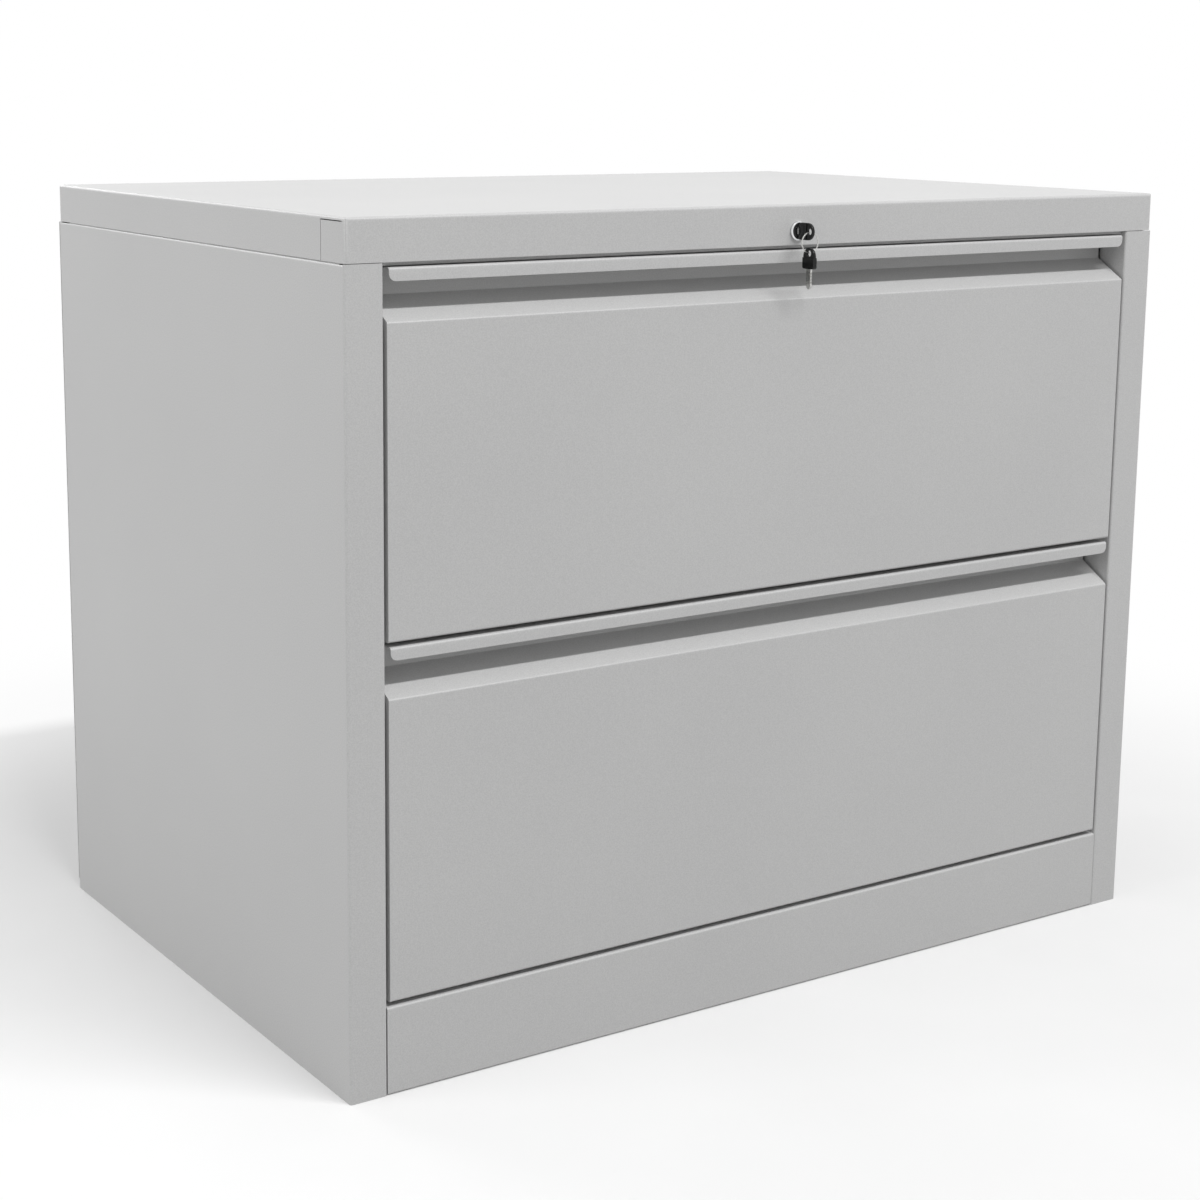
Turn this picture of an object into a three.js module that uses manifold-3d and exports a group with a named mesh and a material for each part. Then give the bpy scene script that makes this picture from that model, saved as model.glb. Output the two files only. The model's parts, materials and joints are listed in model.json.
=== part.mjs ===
// Lateral filing cabinet with two drawers, folded from sheet steel.
// Millimetres, +Z up. The front faces -Y and the origin is on the floor, in the middle of the whole.
import * as THREE from 'three';
import { mergeVertices } from 'three/addons/utils/BufferGeometryUtils.js';
import Module from 'manifold-3d';

const wasm = await Module();
wasm.setup();

// Overall size
const WIDTH = 900;
const DEPTH = 600;
const HEIGHT = 730;

// Sheet metal
const SHEET = 1.0; // thickness of every panel
const BEND = 1.2; // inside radius of a fold
const FIT = 0.3; // gap between pieces that bear on each other

// Top panel
const SKIRT = 36; // height of the rim round the top
const TOP_CORNER = 3; // outside radius of the pan's edges
const SKIRT_FLANGE = 18; // return under the front skirt
const SKIRT_INSET = 1.2; // side skirts inside the side panels' faces
const CORNER_TAB = 40; // length of the front skirt's wrap along each side
const SEAM = 0.8; // slit round the wrap
const SEAM_START = 5; // slit's end from the front

// Side and back panels
const SKIRT_GAP = 0.5; // shadow line under the skirt
const TOP_EDGE = 2.4; // radius of the side panels' top edge
const POST = 35; // width of the front post
const JAMB = 33; // depth of the post's return, past the finger recess
const REAR_FLANGE = 25;
const FOOT_FLANGE = 25;
const TOP_TAB_RISE = 26; // how far the fixing tabs reach up inside the skirt
const TOP_TAB_DROP = 28; // how far they reach down behind the panel
const TAB_END_GAP = 10; // the tabs stop short of the folds
const BACK_LIFT = 10; // back panel's clearance above the floor
const BACK_INSET = 0.4; // back panel's edge inside the side wall

// Plinth and base
const PLINTH = 77.5;
const PLINTH_FLANGE = 43;
const BASE_FLANGE = 30;
const BASE_SETBACK = 3; // base panel's front edge behind the jamb

// Uprights: hat channels on the side walls
const UPRIGHT_FOOT = 14;
const UPRIGHT_WEB = 36;
const UPRIGHT_END_GAP = 16; // from the jamb in front, and from the rail's end behind
const SLOT_LENGTH = 16;
const SLOT_WIDTH = 4;
const SLOT_PITCH = 60;

// Drawer fronts
const TOP_GAP = 4; // above the upper drawer
const DRAWER_GAP = 4; // below each drawer
const SIDE_GAP = 3; // beside each drawer front
const PULL = 43.5; // height of the pull, from the lip's top to the flat face
const LIP = 11; // height of the lip
const LIP_INSET = 2; // lip's ends inside the face's ends
const LIP_CORNER = 6;
const RECESS = 32; // depth of the finger recess
const SLOPE_RISE = 19; // slope from the face up to the recess's back
const FRONT_FLANGE = 22; // returns below and at the ends of the face

// Drawer body
const DRAWER_LIFT = 12; // underside above the face's lower edge
const WALL_HEIGHT = 240; // top of the side walls above the face's lower edge
const WALL_LEDGE = 14; // carries the drawer bottom
const WALL_FLANGE = 12;
const BACK_HEIGHT = 210;
const BACK_FLANGE = 12;
const INNER_TOP_GAP = 4;
const INNER_FLANGE = 14;
const INNER_LIFT = 5.5;
const BEAD_COUNT = 5; // stiffening beads in the drawer bottom
const BEAD_WIDTH = 24;
const BEAD_HEIGHT = 2;
const BEAD_SLOPE = 4;
const HANG_SPACING = 390; // between the two hang rails
const HANG_LEG = 14;
const HANG_RISE = 14;

// Drawer slides: ball-bearing, three members
const RAIL_CLEAR = 0.8; // between the slide and the opening's edge
const RAIL_THICK = 12.7;
const RAIL_START = 34; // rails' front end behind the cabinet's front
const RAIL_BACK_ROOM = 36; // behind the rails, for the lock bar
const RAIL_LEVEL = 60; // slide's middle above the face's lower edge
const RAIL_HEIGHT = 45;
const RAIL_GAUGE = 1.2;
const RAIL_BEND = 0.8;
const RAIL_LIP = 4.3; // turned-in lip of the cabinet rail
const RAIL_MOUTH = 9.5; // depth of the cabinet rail
const RAIL_RUN = 0.4; // running gap between a web and its neighbour
const RACE_OUTER = 4.0; // gap that the outer balls run in
const RACE_INNER = 3.7; // gap that the inner balls run in
const BALL_PLAY = 0.35;
const BALL_COUNT = 3;
const BALL_PITCH = 80;
const CAGE_LENGTH = 240;
const CAGE_GAUGE = 0.6;
const CAGE_BEND = 0.3;

// Lock
const LOCK_DROP = 23.5; // lock's axis below the top
const ROSETTE_RADIUS = 8.5;
const ROSETTE_THICK = 3;
const BARREL_RADIUS = 7.5;
const BARREL_LENGTH = 28;
const NUT_RADIUS = 10.5;
const NUT_THICK = 4.5;
const PLUG_RADIUS = 5.2;
const PLUG_FACE = 0.8; // plug's face behind the rosette's
const PLUG_COLLAR = 2.2;
const PLUG_COLLAR_RADIUS = 6.8;
const ROD_RADIUS = 3;
const ROD_SOCKET = 5;
const CRANK_RADIUS = 12;
const CRANK_THICK = 3;
const PIN_RADIUS = 2.5;
const PIN_PLAY = 0.7;
const BRACKET_GAUGE = 1.5;
const BRACKET_WIDTH = 30;
const BRACKET_FLANGE = 20;
const BRACKET_DROP = 8; // below the rod
const BRACKET_PLACE = 40; // in front of the crank

// Lock bar and catches
const BAR_WIDTH = 20;
const BAR_THICK = 3;
const BAR_HEAD = 8; // bar above and below the pin's slot
const BAR_TAIL = 15;
const BAR_RUN = 2.5; // between the catches and the bar
const CATCH_LEVEL = 185; // above the drawer face's lower edge
const CATCH_GAUGE = 1.5;
const CATCH_WIDTH = 24;
const CATCH_REACH = 18;
const CATCH_PLATE = 14;
const CATCH_HOOK = 9;
const FINGER_WIDTH = 16;
const FINGER_DROP = 12;
const FINGER_PLAY = 1.5;
const FINGER_LEAD = 6; // finger in front of the hook when locked
const GUIDE_HEIGHT = 30;
const GUIDE_FOOT = 14;
const GUIDE_LEVEL = 400;

// Keys
const KEY_GAUGE = 2;
const KEY_HEIGHT = 5.6;
const KEY_LENGTH = 18; // blade beyond the bow
const KEY_TANG = 4.5; // blade inside the bow
const KEY_NECK = 1; // bare blade between rosette and bow
const KEY_PLAY = 0.3;
const NOTCH_COUNT = 4;
const NOTCH_DEPTH = 1.2;
const NOTCH_WIDTH = 2;
const NOTCH_PITCH = 2.6;
const NOTCH_START = 3.2;
const BOW_RADIUS = 7.5;
const BOW_LENGTH = 18.5;
const BOW_THICK = 4.4;
const BOW_CORNER = 2;
const EYE_RADIUS = 2.8;
const EYE_INSET = 5; // eye's middle from the bow's round end
const EYE_THICK = 2.4; // thinner web round the eye
const GRIP_GAP = 0.8; // between the eye and the thicker grip
const RING_RADIUS = 9;
const RING_WIRE = 0.5; // radius of the wire
const RING_SLACK = 1.9; // between the wire and the eye's edge

// Places worked out from the sizes
const skirtBottom = HEIGHT - SKIRT;
const panelTop = skirtBottom - SKIRT_GAP;
const topHalf = WIDTH / 2 - SKIRT_INSET;
const openingHalf = WIDTH / 2 - POST;
const wallInside = WIDTH / 2 - SHEET;
const faceHalf = openingHalf - SIDE_GAP;
const drawerHeight = (HEIGHT - SKIRT - TOP_GAP - PLINTH - 2 * DRAWER_GAP) / 2;
const tabBottom = panelTop - TOP_TAB_DROP;
const tabTop = skirtBottom + TOP_TAB_RISE;
const baseTop = PLINTH - SHEET - FIT;
const baseFront = JAMB + BASE_SETBACK;
const rearFlangeFace = DEPTH - 2 * SHEET - FIT; // front of the side panels' rear flange
const railFace = openingHalf - RAIL_CLEAR; // cabinet rail's back
const uprightFace = railFace + FIT;
const wallOutside = railFace - RAIL_THICK - FIT; // drawer wall's outer face
const wallInner = wallOutside - SHEET;
const innerFrontFace = RECESS + SHEET + FIT;
const wallFront = innerFrontFace + SHEET + FIT;
const railLength = DEPTH - RAIL_START - RAIL_BACK_ROOM;
const drawerBack = RAIL_START + railLength;
const lockZ = HEIGHT - LOCK_DROP;
const pinOffset = CRANK_RADIUS * Math.SQRT1_2;
const barTravel = 2 * pinOffset;
const catchFace = drawerBack + FIT;
const hookRear = catchFace + CATCH_REACH + CATCH_GAUGE;
const barFront = hookRear + BAR_RUN;
const crankFront = barFront - FIT - CRANK_THICK;
const barrelBack = SHEET + BARREL_LENGTH;
const bowBack = -ROSETTE_THICK - KEY_NECK; // bow's end nearest the lock
const eyeY = bowBack - BOW_LENGTH + EYE_INSET;
const keyReach = BOW_RADIUS - eyeY;
const wireDrop = EYE_RADIUS - RING_WIRE - RING_SLACK; // wire's offset from the eye's middle
const ringTop = lockZ - wireDrop;
const ringBottom = ringTop - 2 * RING_RADIUS;
const spareEyeZ = ringBottom - wireDrop;

const LEFT = -1;
const RIGHT = 1;
const SIDES = [['left', LEFT], ['right', RIGHT]];
const lowerFoot = PLINTH + DRAWER_GAP;
const DRAWERS = [['lower', lowerFoot], ['upper', lowerFoot + drawerHeight + DRAWER_GAP]];

// Finishes
const paint = new THREE.MeshStandardMaterial({ color: 0xc4c4c4, roughness: 0.55, metalness: 0.1 });
const zinc = new THREE.MeshStandardMaterial({ color: 0xb4b8bc, roughness: 0.38, metalness: 0.9 });
const chrome = new THREE.MeshStandardMaterial({ color: 0xdadcde, roughness: 0.12, metalness: 1 });
const steel = new THREE.MeshStandardMaterial({ color: 0xc9c7c0, roughness: 0.28, metalness: 1 });
const blackPlastic = new THREE.MeshStandardMaterial({ color: 0x17181a, roughness: 0.45, metalness: 0 });

// Shapes

function outlineOf(points) {
  return new THREE.Shape(points.map(([x, y]) => new THREE.Vector2(x, y)));
}

function roundedRect(x0, y0, x1, y1, radius) {
  const shape = new THREE.Shape();
  shape.moveTo(x0 + radius, y0);
  shape.absarc(x1 - radius, y0 + radius, radius, -Math.PI / 2, 0);
  shape.absarc(x1 - radius, y1 - radius, radius, 0, Math.PI / 2);
  shape.absarc(x0 + radius, y1 - radius, radius, Math.PI / 2, Math.PI);
  shape.absarc(x0 + radius, y0 + radius, radius, Math.PI, 1.5 * Math.PI);
  return shape;
}

// A block's end view with only its two upper corners rounded.
function roundedTop(x0, y0, x1, y1, radius) {
  const shape = new THREE.Shape();
  shape.moveTo(x0, y0);
  shape.lineTo(x1, y0);
  shape.absarc(x1 - radius, y1 - radius, radius, 0, Math.PI / 2);
  shape.absarc(x0 + radius, y1 - radius, radius, Math.PI / 2, Math.PI);
  return shape;
}

const FOLD_STEP = Math.PI / 8; // largest facet in a fold
const ORIGIN = new THREE.Vector2();

// Draws the left-hand face of a sheet that runs through the given corners.
function traceLeftFace(shape, corners, half, radius) {
  const heading = (i) => corners[i + 1].clone().sub(corners[i]).normalize();
  const leftOf = (v) => new THREE.Vector2(-v.y, v.x);
  const last = corners.length - 1;
  for (let i = 0; i <= last; i += 1) {
    if (i === 0 || i === last) {
      const along = heading(i === 0 ? 0 : last - 1);
      const end = corners[i].clone().addScaledVector(leftOf(along), half);
      shape.lineTo(end.x, end.y);
      continue;
    }
    const into = heading(i - 1);
    const out = heading(i);
    const turn = Math.atan2(into.cross(out), into.dot(out));
    const side = Math.sign(turn);
    const setback = (radius + half) * Math.tan(Math.abs(turn) / 2);
    const start = corners[i].clone().addScaledVector(into, -setback);
    const centre = start.addScaledVector(leftOf(into), side * (radius + half));
    const arm = leftOf(into).multiplyScalar(-side * (radius + half - side * half));
    const steps = Math.ceil(Math.abs(turn) / FOLD_STEP);
    for (let k = 0; k <= steps; k += 1) {
      const point = arm.clone().rotateAround(ORIGIN, (turn * k) / steps).add(centre);
      shape.lineTo(point.x, point.y);
    }
  }
}

// End view of a sheet folded along the given middle line, with round bends.
function foldedSheet(points, thickness = SHEET, radius = BEND) {
  const corners = points.map(([x, y]) => new THREE.Vector2(x, y));
  const shape = new THREE.Shape();
  const first = corners[1].clone().sub(corners[0]).normalize();
  shape.moveTo(corners[0].x + (first.y * thickness) / 2, corners[0].y - (first.x * thickness) / 2);
  traceLeftFace(shape, corners, thickness / 2, radius);
  traceLeftFace(shape, corners.toReversed(), thickness / 2, radius);
  return shape;
}

// Solids

const ARC_STEPS = 2;
const TURN_STEPS = 32;

function solid(geometry) {
  geometry.deleteAttribute('normal');
  geometry.deleteAttribute('uv');
  const welded = mergeVertices(geometry, 1e-4);
  const place = welded.attributes.position;
  const corner = (i) => new THREE.Vector3().fromBufferAttribute(place, i);
  const triangles = [];
  let volume = 0;
  for (let i = 0; i < welded.index.count; i += 3) {
    const [a, b, c] = [0, 1, 2].map((k) => welded.index.getX(i + k));
    if (a === b || b === c || c === a) continue;
    triangles.push([a, b, c]);
    volume += corner(a).dot(corner(b).cross(corner(c)));
  }
  const outward = volume > 0 ? triangles : triangles.map(([a, b, c]) => [a, c, b]);
  const triVerts = new Uint32Array(outward.flat());
  const vertProperties = new Float32Array(place.array);
  return new wasm.Manifold(new wasm.Mesh({ numProp: 3, vertProperties, triVerts }));
}

function extruded(shape, depth) {
  return new THREE.ExtrudeGeometry(shape, { depth, bevelEnabled: false, curveSegments: ARC_STEPS });
}

// Shape's x and y become y and z.
function alongX(shape, x0, x1) {
  const turn = new THREE.Matrix4().makeBasis(
    new THREE.Vector3(0, 1, 0),
    new THREE.Vector3(0, 0, 1),
    new THREE.Vector3(1, 0, 0),
  );
  return solid(extruded(shape, x1 - x0).applyMatrix4(turn).translate(x0, 0, 0));
}

// Shape's x and y become x and z.
function alongY(shape, y0, y1) {
  return solid(extruded(shape, y1 - y0).rotateX(Math.PI / 2).translate(0, y1, 0));
}

function alongZ(shape, z0, z1) {
  return solid(extruded(shape, z1 - z0).translate(0, 0, z0));
}

function box(x0, x1, y0, y1, z0, z1) {
  const [low, high] = [Math.min(x0, x1), Math.max(x0, x1)];
  const block = new THREE.BoxGeometry(high - low, y1 - y0, z1 - z0);
  return solid(block.translate((low + high) / 2, (y0 + y1) / 2, (z0 + z1) / 2));
}

// Turned piece on the lock's axis; profile points are [radius, y].
function turned(profile) {
  const points = profile.map(([radius, y]) => new THREE.Vector2(radius, y));
  return solid(new THREE.LatheGeometry(points, TURN_STEPS).translate(0, 0, lockZ));
}

function rodAlongY(radius, y0, y1, x, z) {
  const bar = new THREE.CylinderGeometry(radius, radius, y1 - y0, TURN_STEPS);
  return solid(bar.translate(x, (y0 + y1) / 2, z));
}

function joined(...solids) {
  return solids.reduce((whole, next) => whole.add(next));
}

function cut(whole, ...tools) {
  return tools.reduce((rest, tool) => rest.subtract(tool), whole);
}

const cabinet = new THREE.Group();
cabinet.position.y = (keyReach - DEPTH) / 2;

// Puts a finished solid in the cabinet. Inside the group, y = 0 is the front plane.
function place(name, shape, material) {
  const { vertProperties, triVerts } = shape.getMesh();
  const geometry = new THREE.BufferGeometry();
  geometry.setAttribute('position', new THREE.BufferAttribute(new Float32Array(vertProperties), 3));
  geometry.setIndex(new THREE.BufferAttribute(new Uint32Array(triVerts), 1));
  geometry.computeVertexNormals();
  const mesh = new THREE.Mesh(geometry, material);
  mesh.name = name;
  cabinet.add(mesh);
}

// Carcass

// Block with rounded upper edges and upright corners.
function softBlock(half, front, back, bottom, top, radius) {
  return alongZ(roundedRect(-half, front, half, back, radius), bottom, top)
    .intersect(alongX(roundedTop(front, bottom, back, top, radius), -half, half))
    .intersect(alongY(roundedTop(-half, bottom, half, top, radius), front, back));
}

// Sheet pan that is open below.
function pan(half, front, back, bottom, top, radius) {
  const hollow = softBlock(
    half - SHEET,
    front + SHEET,
    back - SHEET,
    bottom - SHEET,
    top - SHEET,
    radius - SHEET,
  );
  return cut(softBlock(half, front, back, bottom, top, radius), hollow);
}

function topPanel() {
  const shell = pan(topHalf, 0, DEPTH, skirtBottom, HEIGHT, TOP_CORNER);
  const flangeHalf = openingHalf - FIT;
  const flange = box(-flangeHalf, flangeHalf, SHEET / 2, SKIRT_FLANGE, skirtBottom, skirtBottom + SHEET);
  const slitTop = HEIGHT - TOP_CORNER;
  const slitRear = CORNER_TAB + SEAM;
  const slits = SIDES.flatMap(([, side]) => {
    const [outer, inner] = [side * (topHalf + SHEET), side * (topHalf - 1.5 * SHEET)];
    const upright = box(outer, inner, CORNER_TAB, slitRear, skirtBottom - SHEET, slitTop);
    const level = box(outer, inner, SEAM_START, slitRear, slitTop - SEAM, slitTop);
    return [upright, level];
  });
  const lockHole = rodAlongY(BARREL_RADIUS + FIT, -SHEET, 2 * SHEET, 0, lockZ);
  return cut(joined(shell, flange), ...slits, lockHole);
}

// Stepped strip that fixes a panel inside the skirt: [outward, z] with outward 0 at the panel's face.
function fixingTab(inset) {
  const near = -inset - SHEET - FIT;
  const far = near - SHEET;
  return [
    [-SHEET / 2, tabBottom],
    [far, tabBottom],
    [far, tabTop],
    [near, tabTop],
    [near, panelTop],
    [-SHEET / 2, panelTop],
  ];
}

function sidePanel(side) {
  const wall = WIDTH / 2 - SHEET / 2;
  const jamb = openingHalf + SHEET / 2;
  const rear = rearFlangeFace + SHEET / 2;
  const plan = [
    [WIDTH / 2 - REAR_FLANGE, rear],
    [wall, rear],
    [wall, SHEET / 2],
    [jamb, SHEET / 2],
    [jamb, JAMB],
  ].map(([x, y]) => [side * x, y]);
  const [tabFront, tabRear] = [TAB_END_GAP, DEPTH - REAR_FLANGE];
  const foot = box(side * (WIDTH / 2 - FOOT_FLANGE), side * wall, tabFront, tabRear, 0, SHEET);
  const tab = outlineOf(fixingTab(SKIRT_INSET).map(([out, z]) => [side * (WIDTH / 2 + out), z]));
  const panel = joined(alongZ(foldedSheet(plan), 0, panelTop), foot, alongY(tab, tabFront, tabRear));
  return cut(panel, alongY(topEdgeRound(side), SHEET + BEND, rear));
}

// What comes off a side panel's outer top edge to round it.
function topEdgeRound(side) {
  const corner = new THREE.Shape();
  corner.absarc(WIDTH / 2 - TOP_EDGE, panelTop - TOP_EDGE, TOP_EDGE, 0, Math.PI / 2);
  const arc = corner.getPoints(ARC_STEPS).map((p) => [side * p.x, p.y]);
  return outlineOf([...arc, [side * (WIDTH / 2 + SHEET), panelTop + SHEET]]);
}

function backPanel() {
  const half = WIDTH / 2 - BACK_INSET;
  const sheet = box(-half, half, DEPTH - SHEET, DEPTH, BACK_LIFT, panelTop);
  const tabHalf = WIDTH / 2 - REAR_FLANGE - TAB_END_GAP;
  const tab = outlineOf(fixingTab(0).map(([out, z]) => [DEPTH + out, z]));
  return joined(sheet, alongX(tab, -tabHalf, tabHalf));
}

function basePanel() {
  const rear = rearFlangeFace - BEND;
  return pan(wallInside - FIT, baseFront, rear, baseTop - BASE_FLANGE, baseTop, SHEET + BEND);
}

function plinth() {
  const half = openingHalf - FIT;
  const [low, high] = [SHEET / 2, PLINTH - SHEET / 2];
  const path = [[PLINTH_FLANGE, low], [SHEET / 2, low], [SHEET / 2, high], [PLINTH_FLANGE, high]];
  return alongX(foldedSheet(path), -half, half);
}

function upright(side, start) {
  const foot = wallInside - FIT - SHEET / 2;
  const web = uprightFace + SHEET / 2;
  const [webFront, webRear] = [start + UPRIGHT_FOOT, start + UPRIGHT_FOOT + UPRIGHT_WEB];
  const plan = [
    [foot, start],
    [foot, webFront],
    [web, webFront],
    [web, webRear],
    [foot, webRear],
    [foot, webRear + UPRIGHT_FOOT],
  ].map(([x, y]) => [side * x, y]);
  const [low, high] = [baseTop + FIT, tabBottom - FIT];
  const slotY = (webFront + webRear) / 2;
  const slots = [];
  for (let z = low + SLOT_PITCH; z < high - SLOT_LENGTH; z += SLOT_PITCH) {
    const [inner, outer] = [side * (web - SHEET), side * (web + SHEET)];
    slots.push(box(inner, outer, slotY - SLOT_WIDTH / 2, slotY + SLOT_WIDTH / 2, z, z + SLOT_LENGTH));
  }
  return cut(alongZ(foldedSheet(plan), low, high), ...slots);
}

// Drawer slides. Sections are [u, v]: u from the upright towards the drawer, v up from the middle.
// Each channel nests in the last, with a race for the balls between their arms.
const outerArm = RAIL_HEIGHT / 2 - RAIL_GAUGE; // inner face of the cabinet rail's arms
const middleArm = outerArm - RACE_OUTER;
const innerArm = middleArm - RAIL_GAUGE - RACE_INNER; // outer face of the drawer rail's arms
const outerCage = RAIL_GAUGE + RAIL_RUN;
const middleWeb = outerCage + CAGE_GAUGE + RAIL_RUN;
const innerCage = middleWeb + RAIL_GAUGE + RAIL_RUN;
const drawerArmEnd = innerCage + CAGE_GAUGE + RAIL_RUN;
const middleMouth = RAIL_THICK - RAIL_GAUGE - 2 * RAIL_RUN;
const cageMouth = RAIL_MOUTH - RAIL_GAUGE - RAIL_RUN;

function slideSolid(section, side, level, start, length) {
  const shape = foldedSheet(
    section.points.map(([u, v]) => [side * (railFace - u), level + v]),
    section.gauge,
    section.bend,
  );
  return alongY(shape, start, start + length);
}

function channel(web, arm, mouth, gauge, bend, lip = 0) {
  const back = web + Math.sign(mouth - web) * (gauge / 2);
  const edge = arm - gauge / 2;
  const lipU = mouth - gauge / 2;
  const turnedIn = lip > 0 ? [[lipU, edge - lip + gauge / 2]] : [];
  const half = [...turnedIn, [lip > 0 ? lipU : mouth, edge], [back, edge]];
  const points = [...half, ...half.toReversed().map(([u, v]) => [u, -v])];
  return { points, gauge, bend };
}

const cabinetRail = channel(0, RAIL_HEIGHT / 2, RAIL_MOUTH, RAIL_GAUGE, RAIL_BEND, RAIL_LIP);
const middleRail = channel(middleWeb, middleArm, middleMouth, RAIL_GAUGE, RAIL_BEND);
const drawerRail = channel(RAIL_THICK, innerArm, drawerArmEnd, RAIL_GAUGE, RAIL_BEND);

function ballCage(side, level, web, raceTop, race, mouth) {
  const centre = raceTop - race / 2;
  const cage = channel(web, centre + CAGE_GAUGE / 2, mouth, CAGE_GAUGE, CAGE_BEND);
  const start = RAIL_START + (railLength - CAGE_LENGTH) / 2;
  const strip = slideSolid(cage, side, level, start, CAGE_LENGTH);
  const radius = race / 2 - BALL_PLAY;
  const u = (web + CAGE_GAUGE + mouth) / 2;
  const balls = [];
  for (let i = 0; i < BALL_COUNT; i += 1) {
    const y = start + CAGE_LENGTH / 2 + (i - (BALL_COUNT - 1) / 2) * BALL_PITCH;
    for (const v of [-centre, centre]) {
      const ball = new THREE.OctahedronGeometry(radius, 1);
      balls.push(solid(ball.translate(side * (railFace - u), y, level + v)));
    }
  }
  return joined(strip, ...balls);
}

// Drawers

function drawerFront(foot) {
  const top = foot + drawerHeight;
  const half = SHEET / 2;
  const crease = top - PULL + SLOPE_RISE;
  const path = [
    [half, top - LIP],
    [half, top - half],
    [RECESS + half, top - half],
    [RECESS + half, crease],
    [half, top - PULL],
    [half, foot + half],
    [FRONT_FLANGE, foot + half],
  ];
  const skin = alongX(foldedSheet(path), -faceHalf, faceHalf);
  const end = outlineOf([
    [half, foot + half],
    [FRONT_FLANGE, foot + half],
    [FRONT_FLANGE, top - PULL + (SLOPE_RISE * (FRONT_FLANGE - half)) / RECESS],
    [half, top - PULL],
  ]);
  const ends = [alongX(end, -faceHalf, SHEET - faceHalf), alongX(end, faceHalf - SHEET, faceHalf)];
  return cut(joined(skin, ...ends), ...lipTrims(top));
}

// The lip is a little shorter than the face, with round lower corners.
function lipTrims(top) {
  const end = faceHalf - LIP_INSET;
  const low = top - LIP;
  return SIDES.flatMap(([, side]) => {
    const corner = new THREE.Shape();
    corner.moveTo(side * (faceHalf + SHEET), low - SHEET);
    corner.lineTo(side * (end - LIP_CORNER), low - SHEET);
    const [from, to] = side === RIGHT ? [-Math.PI / 2, 0] : [1.5 * Math.PI, Math.PI];
    corner.absarc(side * (end - LIP_CORNER), low + LIP_CORNER, LIP_CORNER, from, to, side === LEFT);
    corner.lineTo(side * end, top + SHEET);
    corner.lineTo(side * (faceHalf + SHEET), top + SHEET);
    const flangeEnd = box(
      side * end,
      side * (faceHalf + SHEET),
      -SHEET,
      RECESS - SHEET,
      top - 2 * SHEET - BEND,
      top + SHEET,
    );
    return [alongY(corner, -SHEET, SHEET + BEND), flangeEnd];
  });
}

function innerFront(foot) {
  const y = innerFrontFace + SHEET / 2;
  const low = foot + INNER_LIFT + SHEET / 2;
  const high = foot + drawerHeight - INNER_TOP_GAP - SHEET / 2;
  const path = [[y + INNER_FLANGE, low], [y, low], [y, high], [y + INNER_FLANGE, high]];
  return alongX(foldedSheet(path), -wallOutside, wallOutside);
}

function drawerWall(side, foot) {
  const x = wallOutside - SHEET / 2;
  const low = foot + DRAWER_LIFT + SHEET / 2;
  const high = foot + WALL_HEIGHT - SHEET / 2;
  const path = [[x - WALL_LEDGE, low], [x, low], [x, high], [x - WALL_FLANGE, high]];
  return alongY(foldedSheet(path.map(([u, z]) => [side * u, z])), wallFront, drawerBack);
}

// Sheet with shallow beads that run from front to back.
function drawerBottom(foot) {
  const half = wallInner - BEND;
  const low = foot + DRAWER_LIFT + SHEET + FIT + SHEET / 2;
  const pitch = (2 * half) / BEAD_COUNT;
  const path = [[-half, low]];
  for (let i = 0; i < BEAD_COUNT; i += 1) {
    const x = -half + (i + 0.5) * pitch;
    path.push([x - BEAD_WIDTH / 2, low]);
    path.push([x - BEAD_WIDTH / 2 + BEAD_SLOPE, low + BEAD_HEIGHT]);
    path.push([x + BEAD_WIDTH / 2 - BEAD_SLOPE, low + BEAD_HEIGHT]);
    path.push([x + BEAD_WIDTH / 2, low]);
  }
  path.push([half, low]);
  return alongY(foldedSheet(path), wallFront, drawerBack - SHEET - FIT);
}

function drawerBackWall(foot) {
  const half = wallInner - FIT;
  const y = drawerBack - SHEET / 2;
  const low = foot + DRAWER_LIFT + SHEET + BEND;
  const high = foot + BACK_HEIGHT - SHEET / 2;
  return alongX(foldedSheet([[y, low], [y, high], [y - BACK_FLANGE, high]]), -half, half);
}

// Angle across the drawer that files hang on; its leg lies on the walls' top flanges.
function hangRail(foot, y, direction) {
  const z = foot + WALL_HEIGHT + FIT + SHEET / 2;
  const path = [[y, z + HANG_RISE], [y, z], [y + direction * HANG_LEG, z]];
  return alongX(foldedSheet(path), -wallOutside, wallOutside);
}

function lockCatch(foot) {
  const y = catchFace + CATCH_GAUGE / 2;
  const z = foot + CATCH_LEVEL;
  const hook = y + CATCH_REACH;
  const path = [[y, z - CATCH_PLATE], [y, z], [hook, z], [hook, z + CATCH_HOOK]];
  return alongX(foldedSheet(path, CATCH_GAUGE, BEND), -CATCH_WIDTH / 2, CATCH_WIDTH / 2);
}

// Lock

function lockHousing() {
  const bore = PLUG_RADIUS + FIT;
  const bevel = ROSETTE_THICK / 3;
  return turned([
    [bore, barrelBack],
    [bore, -ROSETTE_THICK],
    [ROSETTE_RADIUS - bevel, -ROSETTE_THICK],
    [ROSETTE_RADIUS, bevel - ROSETTE_THICK],
    [ROSETTE_RADIUS, -FIT],
    [BARREL_RADIUS, -FIT],
    [BARREL_RADIUS, barrelBack],
    [bore, barrelBack],
  ]);
}

function lockNut() {
  const hexagon = new THREE.Shape();
  for (let i = 0; i < 6; i += 1) {
    const angle = (i * Math.PI) / 3;
    const point = [NUT_RADIUS * Math.cos(angle), lockZ + NUT_RADIUS * Math.sin(angle)];
    if (i === 0) hexagon.moveTo(...point);
    else hexagon.lineTo(...point);
  }
  const [front, back] = [SHEET + FIT, SHEET + FIT + NUT_THICK];
  const bore = rodAlongY(BARREL_RADIUS + FIT, front - SHEET, back + SHEET, 0, lockZ);
  return cut(alongY(hexagon, front, back), bore);
}

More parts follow.
